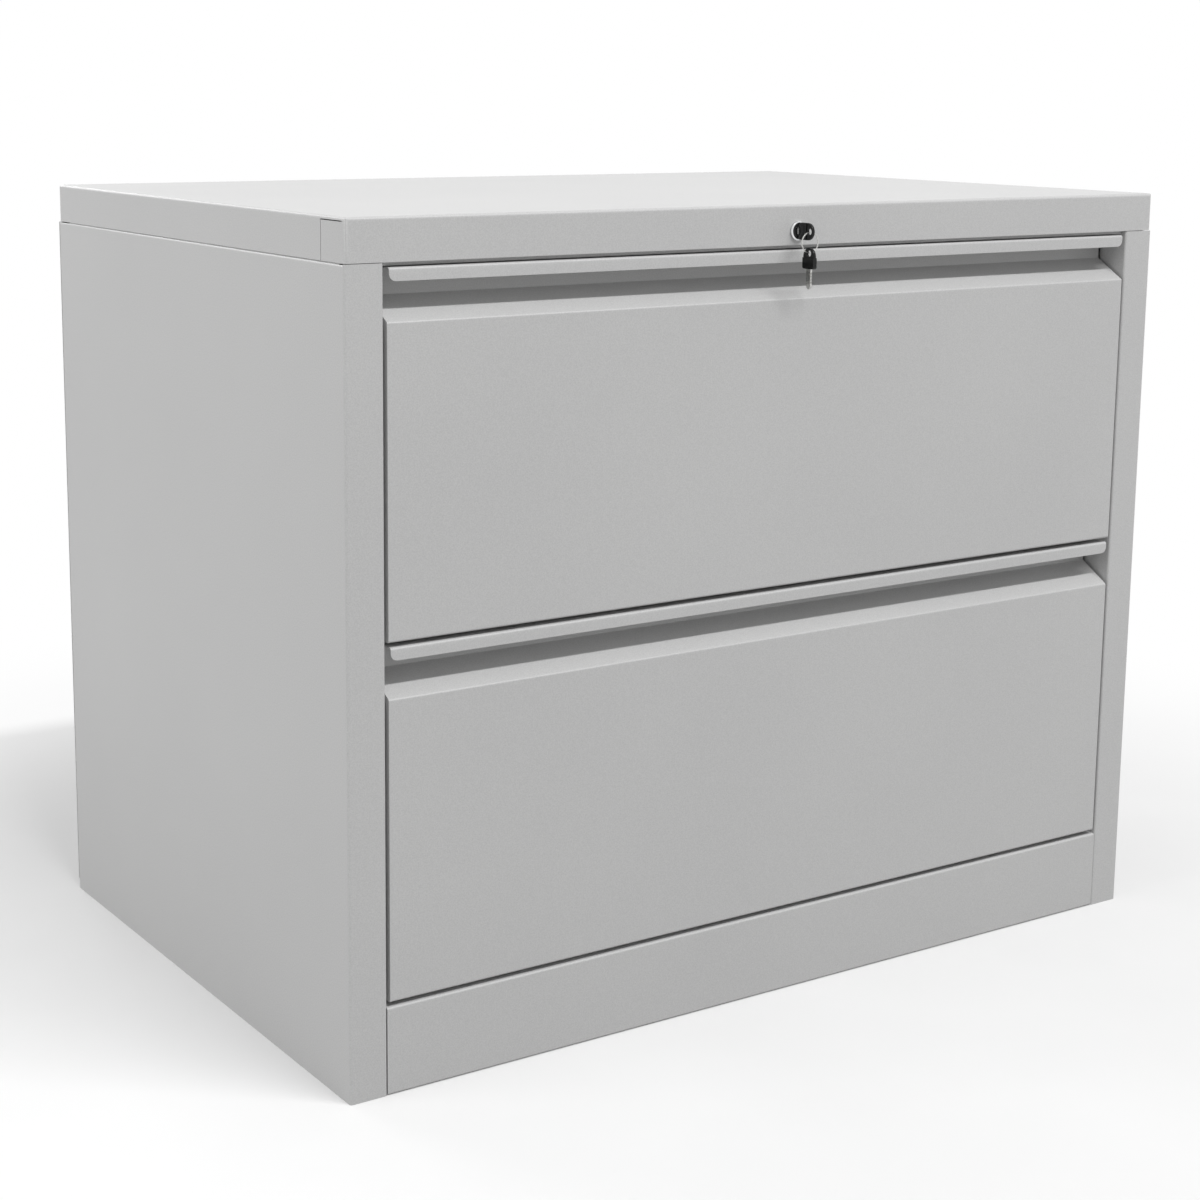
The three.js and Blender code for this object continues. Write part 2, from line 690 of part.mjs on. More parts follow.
function lockPlug() {
  const face = PLUG_FACE - ROSETTE_THICK;
  const collar = barrelBack + FIT;
  const back = collar + PLUG_COLLAR;
  const body = turned([
    [0, face],
    [PLUG_RADIUS, face],
    [PLUG_RADIUS, collar],
    [PLUG_COLLAR_RADIUS, collar],
    [PLUG_COLLAR_RADIUS, back],
    [0, back],
  ]);
  const [keyX, keyZ] = [KEY_GAUGE / 2 + KEY_PLAY, KEY_HEIGHT / 2 + KEY_PLAY];
  const keyTip = bowBack + KEY_LENGTH;
  const keyway = box(-keyX, keyX, face - SHEET, keyTip + KEY_PLAY, lockZ - keyZ, lockZ + keyZ);
  const socket = rodAlongY(ROD_RADIUS + FIT, back - ROD_SOCKET, back + SHEET, 0, lockZ);
  return cut(body, keyway, socket);
}

// Rod from the plug to the back, with a crank and pin that move the bar.
function lockRod() {
  const start = barrelBack + PLUG_COLLAR + 2 * FIT - ROD_SOCKET;
  const rod = rodAlongY(ROD_RADIUS, start, crankFront + CRANK_THICK, 0, lockZ);
  const arm = new THREE.Shape();
  arm.absarc(0, 0, 2 * PIN_RADIUS, (3 * Math.PI) / 4, (7 * Math.PI) / 4);
  arm.absarc(pinOffset, pinOffset, 2 * PIN_RADIUS, -Math.PI / 4, (3 * Math.PI) / 4);
  const crank = alongY(raised(arm, lockZ), crankFront, crankFront + CRANK_THICK);
  const pinEnd = barFront + BAR_THICK + PIN_RADIUS;
  const pin = rodAlongY(PIN_RADIUS, crankFront, pinEnd, pinOffset, lockZ + pinOffset);
  return joined(rod, crank, pin);
}

function raised(shape, height) {
  return outlineOf(shape.getPoints(2 * ARC_STEPS).map((p) => [p.x, p.y + height]));
}

function lockRodBracket() {
  const y = crankFront - BRACKET_PLACE;
  const high = HEIGHT - SHEET - FIT - BRACKET_GAUGE / 2;
  const path = [[y, lockZ - BRACKET_DROP], [y, high], [y - BRACKET_FLANGE, high]];
  const angle = alongX(foldedSheet(path, BRACKET_GAUGE), -BRACKET_WIDTH / 2, BRACKET_WIDTH / 2);
  return cut(angle, rodAlongY(ROD_RADIUS + FIT, y - BRACKET_GAUGE, y + BRACKET_GAUGE, 0, lockZ));
}

// Flat bar with one finger above each drawer's hook, driven down by the crank pin in its slot.
function lockBar() {
  const pinZ = lockZ + pinOffset;
  const fingerLow = (foot) => foot + CATCH_LEVEL + CATCH_GAUGE / 2 + FINGER_PLAY + barTravel;
  const armLevel = (foot) => fingerLow(foot) + FINGER_DROP;
  const low = armLevel(lowerFoot) - BAR_TAIL;
  const high = pinZ + BAR_HEAD;
  const slotRight = CRANK_RADIUS + PIN_RADIUS + PIN_PLAY;
  const slotLeft = pinOffset - PIN_RADIUS - PIN_PLAY;
  const barBack = barFront + BAR_THICK;
  const stem = box(-BAR_WIDTH / 2, BAR_WIDTH / 2, barFront, barBack, low, high);
  const head = box(0, slotRight + BAR_HEAD, barFront, barBack, pinZ - 2 * BAR_HEAD, high);
  const fingerY = hookRear - CATCH_GAUGE - FINGER_LEAD;
  const fingers = DRAWERS.map(([, foot]) => {
    const z = armLevel(foot);
    const path = [[barFront + CATCH_GAUGE, z], [fingerY, z], [fingerY, fingerLow(foot)]];
    return alongX(foldedSheet(path, CATCH_GAUGE), -FINGER_WIDTH / 2, FINGER_WIDTH / 2);
  });
  const slotHalf = PIN_RADIUS + PIN_PLAY;
  const slotShape = roundedRect(slotLeft, pinZ - slotHalf, slotRight, pinZ + slotHalf, slotHalf);
  const slot = alongY(slotShape, barFront - SHEET, barBack + SHEET);
  return cut(joined(stem, head, ...fingers), slot);
}

function lockBarGuide() {
  const inside = BAR_WIDTH / 2 + BEND + SHEET / 2;
  const bridge = barFront - FIT - SHEET / 2;
  const foot = DEPTH - SHEET - FIT - SHEET / 2;
  const half = [[inside + GUIDE_FOOT, foot], [inside, foot], [inside, bridge]];
  const plan = [...half, ...half.toReversed().map(([x, y]) => [-x, y])];
  return alongZ(foldedSheet(plan), GUIDE_LEVEL, GUIDE_LEVEL + GUIDE_HEIGHT);
}

// Keys. Outlines are [along, across]: along runs from the eye's middle to the blade's tip.
const bowEnd = BOW_LENGTH - EYE_INSET;

function keyBladeShape() {
  const half = KEY_HEIGHT / 2;
  const tip = bowEnd + KEY_LENGTH;
  const shape = new THREE.Shape();
  shape.moveTo(bowEnd - KEY_TANG, half);
  shape.lineTo(bowEnd - KEY_TANG, -half);
  for (let i = 0; i < NOTCH_COUNT; i += 1) {
    const start = bowEnd + NOTCH_START + i * NOTCH_PITCH;
    shape.lineTo(start, -half);
    shape.lineTo(start + NOTCH_WIDTH / 2, NOTCH_DEPTH - half);
    shape.lineTo(start + NOTCH_WIDTH, -half);
  }
  shape.lineTo(tip - half, -half);
  shape.lineTo(tip, 0);
  shape.lineTo(tip - half, half);
  return shape;
}

function keyBlade() {
  return alongX(keyBladeShape(), -KEY_GAUGE / 2, KEY_GAUGE / 2);
}

function keyBow() {
  const outline = new THREE.Shape();
  outline.absarc(BOW_RADIUS - EYE_INSET, 0, BOW_RADIUS, Math.PI / 2, 1.5 * Math.PI);
  outline.absarc(bowEnd - BOW_CORNER, BOW_CORNER - BOW_RADIUS, BOW_CORNER, -Math.PI / 2, 0);
  outline.absarc(bowEnd - BOW_CORNER, BOW_RADIUS - BOW_CORNER, BOW_CORNER, 0, Math.PI / 2);
  const smooth = outlineOf(outline.getPoints(2 * ARC_STEPS).map((p) => [p.x, p.y]));
  const web = alongX(smooth, -EYE_THICK / 2, EYE_THICK / 2);
  const gripStart = EYE_RADIUS + GRIP_GAP;
  const beyond = 2 * BOW_LENGTH;
  const grip = alongX(smooth, -BOW_THICK / 2, BOW_THICK / 2);
  const trimmed = grip.intersect(box(-beyond, beyond, gripStart, beyond, -beyond, beyond));
  const circle = new THREE.Shape().absarc(0, 0, EYE_RADIUS, 0, 2 * Math.PI);
  const eye = alongX(outlineOf(circle.getPoints(3 * ARC_STEPS).map((p) => [p.x, p.y])), -beyond, beyond);
  const [x, z] = [KEY_GAUGE / 2 + FIT, KEY_HEIGHT / 2 + FIT];
  const pocket = box(-x, x, bowEnd - KEY_TANG - FIT, beyond, -z, z);
  return cut(joined(web, trimmed), eye, pocket);
}

function moved(shape, turnX, y, z) {
  const { vertProperties, triVerts } = shape.getMesh();
  const geometry = new THREE.BufferGeometry();
  geometry.setAttribute('position', new THREE.BufferAttribute(new Float32Array(vertProperties), 3));
  geometry.setIndex(new THREE.BufferAttribute(new Uint32Array(triVerts), 1));
  return solid(geometry.rotateX(turnX).translate(0, y, z));
}

function keyRing() {
  const ring = new THREE.TorusGeometry(RING_RADIUS, RING_WIRE, 8, TURN_STEPS);
  return solid(ring.rotateX(Math.PI / 2).translate(0, eyeY, ringTop - RING_RADIUS));
}

// Assembly

place('top_panel', topPanel(), paint);
place('back_panel', backPanel(), paint);
place('base_panel', basePanel(), paint);
place('plinth', plinth(), paint);

const frontUpright = JAMB + UPRIGHT_END_GAP;
const rearUpright = drawerBack - UPRIGHT_END_GAP - UPRIGHT_WEB - UPRIGHT_FOOT;
for (const [name, side] of SIDES) {
  place(`${name}_side_panel`, sidePanel(side), paint);
  place(`${name}_front_upright`, upright(side, frontUpright), zinc);
  place(`${name}_rear_upright`, upright(side, rearUpright), zinc);
}

for (const [drawer, foot] of DRAWERS) {
  place(`${drawer}_drawer_front`, drawerFront(foot), paint);
  place(`${drawer}_inner_front`, innerFront(foot), paint);
  place(`${drawer}_drawer_bottom`, drawerBottom(foot), paint);
  place(`${drawer}_back_wall`, drawerBackWall(foot), paint);
  const frontRailY = wallFront + SHEET / 2 + HANG_LEG;
  place(`${drawer}_front_hang_rail`, hangRail(foot, frontRailY, -1), paint);
  place(`${drawer}_rear_hang_rail`, hangRail(foot, frontRailY + HANG_SPACING, 1), paint);
  place(`${drawer}_lock_catch`, lockCatch(foot), zinc);
  const level = foot + RAIL_LEVEL;
  for (const [name, side] of SIDES) {
    const rail = (section) => slideSolid(section, side, level, RAIL_START, railLength);
    const outerBalls = ballCage(side, level, outerCage, outerArm, RACE_OUTER, cageMouth);
    const innerTop = middleArm - RAIL_GAUGE;
    const innerBalls = ballCage(side, level, innerCage, innerTop, RACE_INNER, middleMouth);
    place(`${drawer}_${name}_wall`, drawerWall(side, foot), paint);
    place(`${drawer}_${name}_cabinet_rail`, rail(cabinetRail), zinc);
    place(`${drawer}_${name}_outer_ball_retainer`, outerBalls, steel);
    place(`${drawer}_${name}_middle_rail`, rail(middleRail), zinc);
    place(`${drawer}_${name}_inner_ball_retainer`, innerBalls, steel);
    place(`${drawer}_${name}_drawer_rail`, rail(drawerRail), zinc);
  }
}

place('lock_housing', lockHousing(), chrome);
place('lock_nut', lockNut(), zinc);
place('lock_plug', lockPlug(), chrome);
place('lock_rod', lockRod(), zinc);
place('lock_rod_bracket', lockRodBracket(), zinc);
place('lock_bar', lockBar(), zinc);
place('lock_bar_guide', lockBarGuide(), zinc);
place('key_blade', moved(keyBlade(), 0, eyeY, lockZ), steel);
place('key_bow', moved(keyBow(), 0, eyeY, lockZ), blackPlastic);
place('key_ring', keyRing(), steel);
place('spare_key_blade', moved(keyBlade(), -Math.PI / 2, eyeY, spareEyeZ), steel);
place('spare_key_bow', moved(keyBow(), -Math.PI / 2, eyeY, spareEyeZ), blackPlastic);

const model = new THREE.Group();
model.add(cabinet);

export default model;
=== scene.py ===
import json
import math

import bmesh
import bpy
from mathutils import Matrix, Vector


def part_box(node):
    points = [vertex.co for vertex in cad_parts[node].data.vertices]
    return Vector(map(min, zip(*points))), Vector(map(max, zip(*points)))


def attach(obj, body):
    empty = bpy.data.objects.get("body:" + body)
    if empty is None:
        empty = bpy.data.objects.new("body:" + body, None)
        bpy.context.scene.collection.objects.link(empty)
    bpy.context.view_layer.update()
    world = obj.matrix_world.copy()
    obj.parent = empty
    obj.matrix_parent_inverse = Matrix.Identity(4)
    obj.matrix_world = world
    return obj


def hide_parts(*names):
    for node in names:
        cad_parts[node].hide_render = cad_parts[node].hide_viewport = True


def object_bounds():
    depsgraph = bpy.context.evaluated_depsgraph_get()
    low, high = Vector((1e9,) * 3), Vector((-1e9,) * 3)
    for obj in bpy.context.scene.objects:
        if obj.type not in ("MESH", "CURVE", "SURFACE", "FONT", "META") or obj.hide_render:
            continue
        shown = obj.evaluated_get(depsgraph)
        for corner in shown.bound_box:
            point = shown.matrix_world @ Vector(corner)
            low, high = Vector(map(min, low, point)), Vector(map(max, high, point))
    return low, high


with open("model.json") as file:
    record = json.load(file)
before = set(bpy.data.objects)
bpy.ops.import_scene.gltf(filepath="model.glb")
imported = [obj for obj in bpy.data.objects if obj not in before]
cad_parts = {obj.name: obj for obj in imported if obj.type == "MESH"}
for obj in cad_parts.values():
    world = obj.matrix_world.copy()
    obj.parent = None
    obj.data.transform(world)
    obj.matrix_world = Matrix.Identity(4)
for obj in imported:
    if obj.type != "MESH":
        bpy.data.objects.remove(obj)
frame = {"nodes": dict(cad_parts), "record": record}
cad_low, cad_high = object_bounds()
nodes = frame["nodes"]

MM = 0.001

# Camera, matched to the photograph's corners
CAMERA_PLACE = (-1.2612, -1.8141, 0.8332)
CAMERA_AZIMUTH = 33.05  # degrees to the right of +Y
CAMERA_DIP = 10.11  # degrees below the horizon
CAMERA_ROLL = 0.42  # degrees
CAMERA_LENS = 66.91  # mm
CAMERA_SENSOR = 36.0  # mm
CAMERA_SHIFT = (0.05, -0.1)

# Light: the key is a long strip, high in front, so that each lip throws a clear shadow on the slope
# below it; the rim lamp behind draws bright lines along the top's edges
WORLD_LEVEL = 0.49
LAMPS = [
    # name, place, aim, width and height, watts
    ("key_lamp", (1.1, -3.6, 5.6), (1.1, -0.28, 0.45), (5.0, 0.3), 250.0),
    ("side_lamp", (-3.5, 0.3, 1.5), (-0.45, 0.0, 0.4), (2.2, 1.6), 33.0),
    ("rim_lamp", (-0.7, 4.2, 2.5), (-0.2, 0.0, 0.6), (3.0, 1.0), 34.0),
]

# Floor
FLOOR_HALF = 20.0
FLOOR_FADE = (0.6, 1.35)  # radius where the floor starts and ends turning to plain white
FLOOR_BOUNCE = 0.34  # how much light the floor throws back at the object

# Shading
WHITE = (1.0, 1.0, 1.0, 1.0)
NOISE_SPAN = (0.3, 0.7)  # holds most of a noise texture's values
MIX_FIRST = 6  # places of the colour sockets on a mix node, whose names are not unique
MIX_SECOND = 7
MIX_RESULT = 2
FOLD_ANGLE = 35.0  # degrees; sharper edges stay crisp
MERGE_DISTANCE = 1e-6

# Pop rivets
SHEET = 1.0 * MM
RIVET_SIDES = 20
RIVET_HEAD = [  # radius and height in mm, from the rim over the dome into the mandrel's hole
    (3.2, -0.1),
    (3.2, 0.3),
    (2.9, 0.7),
    (2.2, 1.0),
    (1.4, 1.1),
    (1.1, 1.0),
    (1.0, 0.5),
]
RAIL_RIVETS = (0.05, 0.35, 0.65, 0.95)  # along a drawer rail, as shares of its length
BACK_RIVET_EDGE = 0.0125  # from the back panel's side edges
BACK_RIVET_HEIGHTS = (0.1, 0.24, 0.38, 0.52, 0.66)
BACK_RIVET_FOOT = 0.061  # height of the row along the base panel's rear flange
BACK_RIVET_ROW = (-0.3, -0.1, 0.1, 0.3)  # that row's places along X

# Hem turned down behind the gap over the upper drawer
HEM_END = 35.3 * MM  # from the cabinet's sides
HEM_SECTION = [  # in mm, back from the skirt's face and down from its edge
    (6.0, 0.0),
    (6.0, 2.7),
    (6.2, 3.1),
    (6.5, 3.2),
    (6.8, 3.1),
    (7.0, 2.7),
    (7.0, 0.0),
]

# Key bows and split ring, in mm as in the CAD
BOW_RADIUS = 7.5
BOW_LENGTH = 18.5
BOW_THICK = 4.4
BOW_CORNER = 2.0
BOW_EDGE = 0.5  # radius of the moulded edges
BOW_EDGE_STEPS = 4
EYE_RADIUS = 2.8
EYE_INSET = 5.0  # eye's middle from the bow's round end
EYE_THICK = 2.4  # thinner web round the eye
GRIP_START = 3.6  # thicker grip from the eye's middle
GRIP_OVERLAP = 0.5  # how far the web runs on inside the grip
ARC_STEP = 7.5  # degrees
RING_RADIUS = 9.0
RING_TURNS = 2
RING_PITCH = 0.36  # from turn to turn
RING_STEPS = 64  # in a turn
RING_START = 200.0  # degrees from +X where the wire begins
RING_SECTION = [  # outward and along the ring's axis
    (0.5, 0.08),
    (0.42, 0.17),
    (-0.42, 0.17),
    (-0.5, 0.08),
    (-0.5, -0.08),
    (-0.42, -0.17),
    (0.42, -0.17),
    (0.5, -0.08),
]


# Materials


def linear(shown):
    """The linear value that a shader takes, from a channel as it shows on screen by the sRGB curve."""
    if shown <= 0.04045:
        return shown / 12.92
    return ((shown + 0.055) / 1.055) ** 2.4


def colour(red, green, blue):
    return (linear(red), linear(green), linear(blue), 1.0)


def grey(shown):
    return colour(shown, shown, shown)


def new_material(name):
    material = bpy.data.materials.new(name)
    material.use_nodes = True
    tree = material.node_tree
    return material, tree, tree.nodes["Principled BSDF"]


def add(tree, kind, inputs=None, **settings):
    node = tree.nodes.new(kind)
    for key, value in settings.items():
        setattr(node, key, value)
    for key, value in (inputs or {}).items():
        node.inputs[key].default_value = value
    return node


def place_coordinates(tree, scale=(1.0, 1.0, 1.0)):
    """Coordinates in metres in the shared frame. A scale below 1 draws features out along its axis."""
    coordinates = add(tree, "ShaderNodeTexCoord")
    mapping = add(tree, "ShaderNodeMapping", {"Scale": scale})
    tree.links.new(coordinates.outputs["Object"], mapping.inputs["Vector"])
    return mapping.outputs["Vector"]


def noise(tree, vector, per_metre, detail=2.0):
    texture = add(tree, "ShaderNodeTexNoise", {"Scale": per_metre, "Detail": detail})
    tree.links.new(vector, texture.inputs["Vector"])
    return texture.outputs["Fac"]


def ramp(tree, factor, low, high):
    """A colour between low and high, from a noise texture."""
    node = add(tree, "ShaderNodeValToRGB")
    for stop, position, shade in zip(node.color_ramp.elements, NOISE_SPAN, (low, high)):
        stop.position = position
        stop.color = shade
    tree.links.new(factor, node.inputs["Fac"])
    return node.outputs["Color"]


def level(tree, factor, low, high):
    """A number between low and high, from a noise texture."""
    start, end = NOISE_SPAN
    inputs = {"From Min": start, "From Max": end, "To Min": low, "To Max": high}
    node = add(tree, "ShaderNodeMapRange", inputs)
    tree.links.new(factor, node.inputs["Value"])
    return node.outputs["Result"]


def blend_colours(tree, first, second, share):
    node = add(tree, "ShaderNodeMix", {"Factor": share}, data_type="RGBA")
    tree.links.new(first, node.inputs[MIX_FIRST])
    tree.links.new(second, node.inputs[MIX_SECOND])
    return node.outputs[MIX_RESULT]


def bump(tree, shader, height, depth, strength, under=None):
    """Relief of that depth in metres on a shader, on top of a coarser relief where one is given."""
    node = add(tree, "ShaderNodeBump", {"Strength": strength, "Distance": depth})
    tree.links.new(height, node.inputs["Height"])
    if under is not None:
        tree.links.new(under, node.inputs["Normal"])
    tree.links.new(node.outputs["Normal"], shader.inputs["Normal"])
    return node.outputs["Normal"]


def powder_coat():
    """Light grey powder coat: satin, with fine orange peel, a faint speckle and slow cloudiness."""
    material, tree, shader = new_material("powder_coat")
    place = place_coordinates(tree)
    clouds = noise(tree, place, per_metre=4.0, detail=3.0)
    speckle = noise(tree, place, per_metre=900.0, detail=6.0)
    gloss = noise(tree, place, per_metre=900.0, detail=4.0)
    waves = noise(tree, place, per_metre=60.0, detail=1.0)
    peel = noise(tree, place, per_metre=1100.0, detail=5.0)
    slow = ramp(tree, clouds, grey(0.787), colour(0.813, 0.813, 0.811))
    fine = ramp(tree, speckle, grey(0.745), colour(0.855, 0.855, 0.853))
    tree.links.new(blend_colours(tree, slow, fine, share=0.5), shader.inputs["Base Color"])
    tree.links.new(level(tree, gloss, low=0.31, high=0.4), shader.inputs["Roughness"])
    shader.inputs["Specular IOR Level"].default_value = 0.4
    coarse = bump(tree, shader, waves, depth=0.12 * MM, strength=0.35)
    bump(tree, shader, peel, depth=0.04 * MM, strength=0.5, under=coarse)
    return material


def zinc_plate():
    """Bright zinc on rolled steel: streaked along the rolling, slightly blue, with dull patches."""
    material, tree, shader = new_material("zinc_plate")
    along = place_coordinates(tree, scale=(1.0, 0.04, 1.0))
    place = place_coordinates(tree)
    streaks = noise(tree, along, per_metre=700.0, detail=3.0)
    patches = noise(tree, place, per_metre=38.0, detail=3.0)
    tone = ramp(tree, streaks, colour(0.66, 0.67, 0.69), colour(0.78, 0.79, 0.81))
    bloom = ramp(tree, patches, colour(0.64, 0.66, 0.68), grey(0.8))
    tree.links.new(blend_colours(tree, tone, bloom, share=0.4), shader.inputs["Base Color"])
    shader.inputs["Metallic"].default_value = 1.0
    tree.links.new(level(tree, patches, low=0.28, high=0.42), shader.inputs["Roughness"])
    bump(tree, shader, streaks, depth=0.02 * MM, strength=0.4)
    return material


def bright_steel():
    """Bright steel of the ball retainers and their balls."""
    material, tree, shader = new_material("bright_steel")
    place = place_coordinates(tree)
    stains = noise(tree, place, per_metre=240.0, detail=3.0)
    gloss = noise(tree, place, per_metre=500.0)
    scuffs = noise(tree, place, per_metre=1500.0)
    tone = ramp(tree, stains, colour(0.74, 0.74, 0.75), grey(0.84))
    tree.links.new(tone, shader.inputs["Base Color"])
    shader.inputs["Metallic"].default_value = 1.0
    tree.links.new(level(tree, gloss, low=0.2, high=0.32), shader.inputs["Roughness"])
    bump(tree, shader, scuffs, depth=0.01 * MM, strength=0.3)
    return material


def polished_chrome():
    """Chrome of the lock, with faint marks left by polishing."""
    material, tree, shader = new_material("polished_chrome")
    place = place_coordinates(tree)
    haze = noise(tree, place, per_metre=300.0)
    gloss = noise(tree, place, per_metre=900.0)
    marks = noise(tree, place, per_metre=2500.0)
    tone = ramp(tree, haze, colour(0.83, 0.835, 0.84), colour(0.88, 0.88, 0.885))
    tree.links.new(tone, shader.inputs["Base Color"])
    shader.inputs["Metallic"].default_value = 1.0
    tree.links.new(level(tree, gloss, low=0.06, high=0.13), shader.inputs["Roughness"])
    bump(tree, shader, marks, depth=0.004 * MM, strength=0.3)
    return material


def nickel_key():
    """Nickel plate of the key blades and the split ring, rubbed along the blades."""
    material, tree, shader = new_material("nickel_key")
    along = place_coordinates(tree, scale=(1.0, 0.05, 0.2))
    rubs = noise(tree, along, per_metre=2600.0, detail=3.0)
    tone = ramp(tree, rubs, colour(0.7, 0.7, 0.69), colour(0.82, 0.82, 0.81))
    tree.links.new(tone, shader.inputs["Base Color"])
    shader.inputs["Metallic"].default_value = 1.0
    tree.links.new(level(tree, rubs, low=0.18, high=0.34), shader.inputs["Roughness"])
    bump(tree, shader, rubs, depth=0.01 * MM, strength=0.4)
    return material


def black_plastic():
    """Moulded black plastic of the key bows: satin, with a fine grain and lighter rubbed patches."""
    material, tree, shader = new_material("black_plastic")
    place = place_coordinates(tree)
    patches = noise(tree, place, per_metre=180.0, detail=3.0)
    gloss = noise(tree, place, per_metre=420.0)
    grain = noise(tree, place, per_metre=2400.0)
    tone = ramp(tree, patches, colour(0.035, 0.035, 0.037), colour(0.07, 0.07, 0.072))
    tree.links.new(tone, shader.inputs["Base Color"])
    tree.links.new(level(tree, gloss, low=0.14, high=0.26), shader.inputs["Roughness"])
    shader.inputs["Specular IOR Level"].default_value = 0.3
    bump(tree, shader, grain, depth=0.02 * MM, strength=0.3)
    return material


FINISHES = {
    "body_grey": powder_coat(),
    "zinc_steel": zinc_plate(),
    "ball_steel": bright_steel(),
    "chrome": polished_chrome(),
    "key_steel": nickel_key(),
    "black_plastic": black_plastic(),
}


# Shading of the CAD nodes


def fold_smoothing():
    """Modifier group that shades a fold's facets as one round surface and leaves cut edges crisp."""
    tree = bpy.data.node_groups.new("fold_smoothing", "GeometryNodeTree")
    tree.interface.new_socket("Geometry", in_out="INPUT", socket_type="NodeSocketGeometry")
    tree.interface.new_socket("Geometry", in_out="OUTPUT", socket_type="NodeSocketGeometry")
    start = add(tree, "NodeGroupInput")
    clear = add(tree, "GeometryNodeRemoveAttribute", {"Name": "custom_normal"})
    merge = add(tree, "GeometryNodeMergeByDistance", {"Distance": MERGE_DISTANCE})
    faces = add(tree, "GeometryNodeSetShadeSmooth", {"Shade Smooth": True}, domain="FACE")
    angle = add(tree, "GeometryNodeInputMeshEdgeAngle")
    gentle = add(tree, "FunctionNodeCompare", data_type="FLOAT", operation="LESS_THAN")
    gentle.inputs["B"].default_value = math.radians(FOLD_ANGLE)
    edges = add(tree, "GeometryNodeSetShadeSmooth", domain="EDGE")
    end = add(tree, "NodeGroupOutput")
    links = tree.links
    links.new(start.outputs["Geometry"], clear.inputs["Geometry"])
    links.new(clear.outputs["Geometry"], merge.inputs["Geometry"])
    links.new(merge.outputs["Geometry"], faces.inputs["Geometry"])
    links.new(faces.outputs["Geometry"], edges.inputs["Geometry"])
    links.new(angle.outputs["Unsigned Angle"], gentle.inputs["A"])
    links.new(gentle.outputs["Result"], edges.inputs["Shade Smooth"])
    links.new(edges.outputs["Geometry"], end.inputs["Geometry"])
    return tree


FOLD_SMOOTHING = fold_smoothing()


def dress(piece, slot):
    """Gives a piece the finish of a material slot and round folds."""
    piece.data.materials.clear()
    piece.data.materials.append(FINISHES[slot])
    piece.modifiers.new("folds", "NODES").node_group = FOLD_SMOOTHING
    normals = piece.modifiers.new("normals", "WEIGHTED_NORMAL")
    normals.keep_sharp = True


for row in frame["record"]["subparts"]:
    dress(nodes[row["node"]], row["material_slot"])


# Pieces made here


def bridge(mesh, low, high):
    """Faces between two closed rings of points."""
    for step in range(len(low)):
        after = (step + 1) % len(low)
        mesh.faces.new((low[step], low[after], high[after], high[step]))


def add_object(name, mesh):
    data = bpy.data.meshes.new(name)
    mesh.to_mesh(data)
    mesh.free()
    piece = bpy.data.objects.new(name, data)
    bpy.context.scene.collection.objects.link(piece)
    return piece


def join_body(piece, body, slot):
    dress(piece, slot)
    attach(piece, body)


# Rivets and hem, which the CAD leaves out


def add_rivet(mesh, place, outward):
    """One rivet at a place, its head facing outward."""
    turn = Vector((0.0, 0.0, 1.0)).rotation_difference(Vector(outward))
    rings = []
    for radius, height in RIVET_HEAD:
        ring = []
        for step in range(RIVET_SIDES):
            angle = 2 * math.pi * step / RIVET_SIDES
            point = Vector((radius * math.cos(angle), radius * math.sin(angle), height)) * MM
            ring.append(mesh.verts.new(Vector(place) + turn @ point))
        rings.append(ring)
    for low, high in zip(rings, rings[1:]):
        bridge(mesh, low, high)
    mesh.faces.new(rings[-1])
    mesh.faces.new(rings[0][::-1])


def make_rivets(name, rivets, body, slot):
    """One piece for a group of rivets, each given by its place and the direction its head faces."""
    mesh = bmesh.new()
    for place, outward in rivets:
        add_rivet(mesh, place, outward)
    join_body(add_object(name, mesh), body, slot)


def rail_rivets(drawer):
    """Rivets on the insides of a drawer's walls that hold its rails."""
    rivets = []
    for side, inward in (("left", 1.0), ("right", -1.0)):
        wall_low, wall_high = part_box(f"{drawer}_{side}_wall")
        rail_low, rail_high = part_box(f"{drawer}_{side}_drawer_rail")
        face = (wall_low.x if inward > 0 else wall_high.x) + inward * SHEET
        height = (rail_low.z + rail_high.z) / 2
        for share in RAIL_RIVETS:
            place = (face, rail_low.y + share * (rail_high.y - rail_low.y), height)
            rivets.append((place, (inward, 0.0, 0.0)))
    return rivets


def back_rivets():
    """Rivets down both sides of the back panel and along its foot."""
    low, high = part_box("back_panel")
    edges = (low.x + BACK_RIVET_EDGE, high.x - BACK_RIVET_EDGE)
    places = [(x, high.y, z) for x in edges for z in BACK_RIVET_HEIGHTS]
    places += [(x, high.y, BACK_RIVET_FOOT) for x in BACK_RIVET_ROW]
    return [(place, (0.0, 1.0, 0.0)) for place in places]


make_rivets("upper_rail_rivets", rail_rivets("upper"), "upper_drawer", "zinc_steel")
make_rivets("lower_rail_rivets", rail_rivets("lower"), "lower_drawer", "zinc_steel")
make_rivets("back_rivets", back_rivets(), "cabinet", "body_grey")


def make_hem():
    """Edge of the skirt's flange, which shows as a grey line in the gap over the upper drawer."""
    low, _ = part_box("top_panel")
    mesh = bmesh.new()
    section = [(low.y + back * MM, low.z - down * MM) for back, down in HEM_SECTION]
    ends = []
    for x in (cad_low.x + HEM_END, cad_high.x - HEM_END):
        ends.append([mesh.verts.new((x, y, z)) for y, z in section])
    bridge(mesh, *ends)
    for end in ends:
        mesh.faces.new(end)
    bmesh.ops.recalc_face_normals(mesh, faces=mesh.faces)
    join_body(add_object("skirt_hem", mesh), "cabinet", "body_grey")


make_hem()


# Key bows and split ring, rounder than the CAD's. A bow's points are along it from the eye's middle
# towards the blade, and across it.


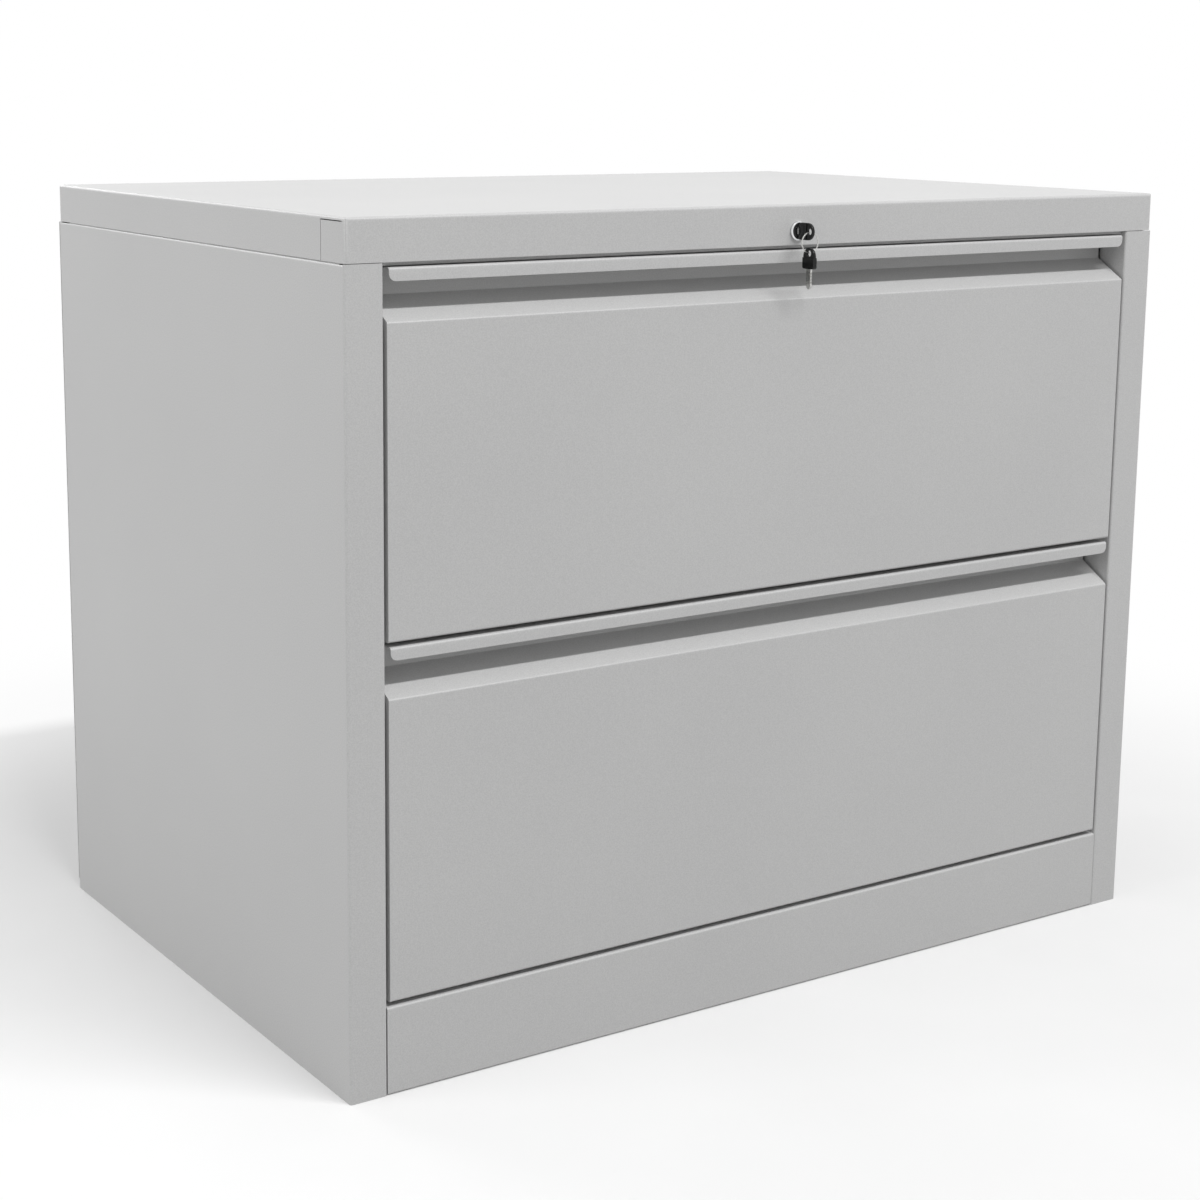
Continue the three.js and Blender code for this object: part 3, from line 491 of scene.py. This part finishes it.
def arc(middle, radius, start, end):
    """Points of an arc, its angles in degrees."""
    along, across = middle
    count = round(abs(end - start) / ARC_STEP)
    angles = [math.radians(start + (end - start) * step / count) for step in range(count + 1)]
    return [(along + radius * math.cos(angle), across + radius * math.sin(angle)) for angle in angles]


def web_outline(inset):
    """The round end, drawn in by inset, with a narrower end inside the grip."""
    half = BOW_RADIUS - inset
    inside = half - GRIP_OVERLAP
    reach = GRIP_START + GRIP_OVERLAP
    points = arc((BOW_RADIUS - EYE_INSET, 0.0), half, 90.0, 270.0)
    return points + [(GRIP_START, -half), (reach, -inside), (reach, inside), (GRIP_START, half)]


def eye_outline(inset):
    """The eye, which widens as the bow's edges draw in."""
    return arc((0.0, 0.0), EYE_RADIUS + inset, 360.0, 0.0)[:-1]


def grip_outline(inset):
    """The thicker end that the blade goes into."""
    half = BOW_RADIUS - inset
    start = GRIP_START + inset
    corner = BOW_CORNER - inset
    along = BOW_LENGTH - EYE_INSET - BOW_CORNER
    across = BOW_RADIUS - BOW_CORNER
    points = [(start, half), (start, -half)]
    points += arc((along, -across), corner, -90.0, 0.0)
    return points + arc((along, across), corner, 0.0, 90.0)


def edge_profile(thickness):
    """Inset and height from a plate's lower face to its upper one, round both moulded edges."""
    flat = thickness / 2 - BOW_EDGE
    angles = [math.radians(90.0 * step / BOW_EDGE_STEPS) for step in range(BOW_EDGE_STEPS + 1)]
    upper = [(BOW_EDGE * (1 - math.cos(angle)), flat + BOW_EDGE * math.sin(angle)) for angle in angles]
    lower = [(inset, -height) for inset, height in reversed(upper)]
    return lower + upper


def make_plate(name, outlines, thickness):
    """A flat plate with round edges inside the first outline, with a hole for each further one."""
    mesh = bmesh.new()
    rims = ([], [])
    for outline in outlines:
        rings = []
        for inset, height in edge_profile(thickness):
            rings.append([mesh.verts.new((height, along, across)) for along, across in outline(inset)])
        for low, high in zip(rings, rings[1:]):
            bridge(mesh, low, high)
        for rim, ring in zip(rims, (rings[0], rings[-1])):
            rim += [mesh.edges.get((ring[step - 1], ring[step])) for step in range(len(ring))]
    for rim in rims:
        bmesh.ops.triangle_fill(mesh, use_beauty=True, edges=rim)
    bmesh.ops.recalc_face_normals(mesh, faces=mesh.faces)
    return add_object(name, mesh)


def make_bow(name, node, body, eye, turn):
    """A key's bow with its eye at a place, turned about X by a number of degrees."""
    web = make_plate("web", (web_outline, eye_outline), EYE_THICK)
    grip = make_plate("grip", (grip_outline,), BOW_THICK)
    union = web.modifiers.new("union", "BOOLEAN")
    union.operation = "UNION"
    union.solver = "EXACT"
    union.object = grip
    depsgraph = bpy.context.evaluated_depsgraph_get()
    whole = bpy.data.meshes.new_from_object(web.evaluated_get(depsgraph))
    for plate in (web, grip):
        bpy.data.objects.remove(plate)
    turned = Matrix.Rotation(math.radians(turn), 4, "X") @ Matrix.Scale(MM, 4)
    whole.transform(Matrix.Translation(eye) @ turned)
    bow = bpy.data.objects.new(name, whole)
    bpy.context.scene.collection.objects.link(bow)
    join_body(bow, body, "black_plastic")
    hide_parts(node)


def make_split_ring():
    """Two turns of flat wire that lie side by side, where the CAD has one plain ring."""
    low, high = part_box("key_ring")
    middle = (low + high) / 2
    mesh = bmesh.new()
    rings = []
    for step in range(RING_TURNS * RING_STEPS + 1):
        turns = step / RING_STEPS
        angle = math.radians(RING_START) + 2 * math.pi * turns
        outward = Vector((math.cos(angle), 0.0, math.sin(angle)))
        shift = RING_PITCH * (turns - RING_TURNS / 2)
        ring = []
        for out, along in RING_SECTION:
            point = (RING_RADIUS + out) * outward + Vector((0.0, along + shift, 0.0))
            ring.append(mesh.verts.new(middle + point * MM))
        rings.append(ring)
    for start, end in zip(rings, rings[1:]):
        bridge(mesh, start, end)
    mesh.faces.new(rings[0])
    mesh.faces.new(rings[-1])
    bmesh.ops.recalc_face_normals(mesh, faces=mesh.faces)
    wire = add_object("split_ring", mesh)
    join_body(wire, "key_ring", "key_steel")
    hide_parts("key_ring")


def make_bows():
    low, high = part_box("key_bow")
    middle = (low + high) / 2
    level_eye = (middle.x, low.y + EYE_INSET * MM, middle.z)
    make_bow("moulded_bow", "key_bow", "key", level_eye, 0.0)
    low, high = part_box("spare_key_bow")
    middle = (low + high) / 2
    hanging_eye = (middle.x, middle.y, high.z - EYE_INSET * MM)
    make_bow("moulded_spare_bow", "spare_key_bow", "spare_key", hanging_eye, -90.0)


make_bows()
make_split_ring()


# Stage, light and camera


def seen_by_eye(tree):
    """1 where a ray comes from the camera, a reflection or through glass, otherwise 0."""
    path = add(tree, "ShaderNodeLightPath")
    first = add(tree, "ShaderNodeMath", operation="MAXIMUM")
    second = add(tree, "ShaderNodeMath", operation="MAXIMUM")
    tree.links.new(path.outputs["Is Camera Ray"], first.inputs[0])
    tree.links.new(path.outputs["Is Glossy Ray"], first.inputs[1])
    tree.links.new(first.outputs[0], second.inputs[0])
    tree.links.new(path.outputs["Is Transmission Ray"], second.inputs[1])
    return second.outputs[0]


def make_floor():
    """A pale floor that keeps the object's shadow and turns to plain white further out."""
    bpy.ops.mesh.primitive_plane_add(size=2 * FLOOR_HALF)
    floor = bpy.context.object
    floor.name = "floor"
    material, tree, shader = new_material("pale_floor")
    place = place_coordinates(tree)
    mottle = noise(tree, place, per_metre=3.0, detail=3.0)
    tree.links.new(ramp(tree, mottle, grey(0.955), grey(0.97)), shader.inputs["Base Color"])
    shader.inputs["Roughness"].default_value = 0.85
    shader.inputs["Specular IOR Level"].default_value = 0.2
    distance = add(tree, "ShaderNodeVectorMath", operation="LENGTH")
    tree.links.new(place, distance.inputs[0])
    start, end = FLOOR_FADE
    inputs = {"From Min": start, "From Max": end}
    fade = add(tree, "ShaderNodeMapRange", inputs, interpolation_type="SMOOTHSTEP")
    tree.links.new(distance.outputs["Value"], fade.inputs["Value"])
    seen = seen_by_eye(tree)
    share = add(tree, "ShaderNodeMath", operation="MULTIPLY")
    tree.links.new(fade.outputs["Result"], share.inputs[0])
    tree.links.new(seen, share.inputs[1])
    white = add(tree, "ShaderNodeEmission", {"Color": WHITE, "Strength": 1.0})
    mix = add(tree, "ShaderNodeMixShader")
    tree.links.new(share.outputs[0], mix.inputs[0])
    tree.links.new(shader.outputs[0], mix.inputs[1])
    tree.links.new(white.outputs[0], mix.inputs[2])
    bounce = (FLOOR_BOUNCE, FLOOR_BOUNCE, FLOOR_BOUNCE, 1.0)
    dull = add(tree, "ShaderNodeBsdfDiffuse", {"Color": bounce})
    either = add(tree, "ShaderNodeMixShader")
    tree.links.new(seen, either.inputs[0])
    tree.links.new(dull.outputs[0], either.inputs[1])
    tree.links.new(mix.outputs[0], either.inputs[2])
    tree.links.new(either.outputs[0], tree.nodes["Material Output"].inputs["Surface"])
    floor.data.materials.append(material)


def make_world():
    """Even light from all round, in front of a white backdrop."""
    world = bpy.data.worlds.new("studio")
    bpy.context.scene.world = world
    world.use_nodes = True
    tree = world.node_tree
    light = tree.nodes["Background"]
    light.inputs["Color"].default_value = WHITE
    light.inputs["Strength"].default_value = WORLD_LEVEL
    backdrop = add(tree, "ShaderNodeBackground", {"Color": WHITE, "Strength": 1.0})
    mix = add(tree, "ShaderNodeMixShader")
    tree.links.new(seen_by_eye(tree), mix.inputs[0])
    tree.links.new(light.outputs[0], mix.inputs[1])
    tree.links.new(backdrop.outputs[0], mix.inputs[2])
    tree.links.new(mix.outputs[0], tree.nodes["World Output"].inputs["Surface"])


def make_lamps():
    for name, place, aim, size, watts in LAMPS:
        data = bpy.data.lights.new(name, "AREA")
        data.shape = "RECTANGLE"
        data.size, data.size_y = size
        data.energy = watts
        lamp = bpy.data.objects.new(name, data)
        bpy.context.scene.collection.objects.link(lamp)
        lamp.location = place
        lamp.rotation_mode = "QUATERNION"
        lamp.rotation_quaternion = (Vector(aim) - Vector(place)).to_track_quat("-Z", "Y")


def make_camera():
    data = bpy.data.cameras.new("photo_camera")
    data.sensor_width = CAMERA_SENSOR
    data.lens = CAMERA_LENS
    data.shift_x, data.shift_y = CAMERA_SHIFT
    camera = bpy.data.objects.new("photo_camera", data)
    bpy.context.scene.collection.objects.link(camera)
    turn = math.radians(CAMERA_AZIMUTH)
    dip = math.radians(CAMERA_DIP)
    flat = math.cos(dip)
    forward = Vector((math.sin(turn) * flat, math.cos(turn) * flat, -math.sin(dip)))
    right = forward.cross(Vector((0.0, 0.0, 1.0))).normalized()
    up = right.cross(forward)
    upright = Matrix((right, up, -forward)).transposed().to_4x4()
    roll = Matrix.Rotation(math.radians(CAMERA_ROLL), 4, "Z")
    camera.matrix_world = Matrix.Translation(CAMERA_PLACE) @ upright @ roll
    bpy.context.scene.camera = camera


make_floor()
make_world()
make_lamps()
make_camera()
bpy.context.scene.view_settings.view_transform = "Standard"
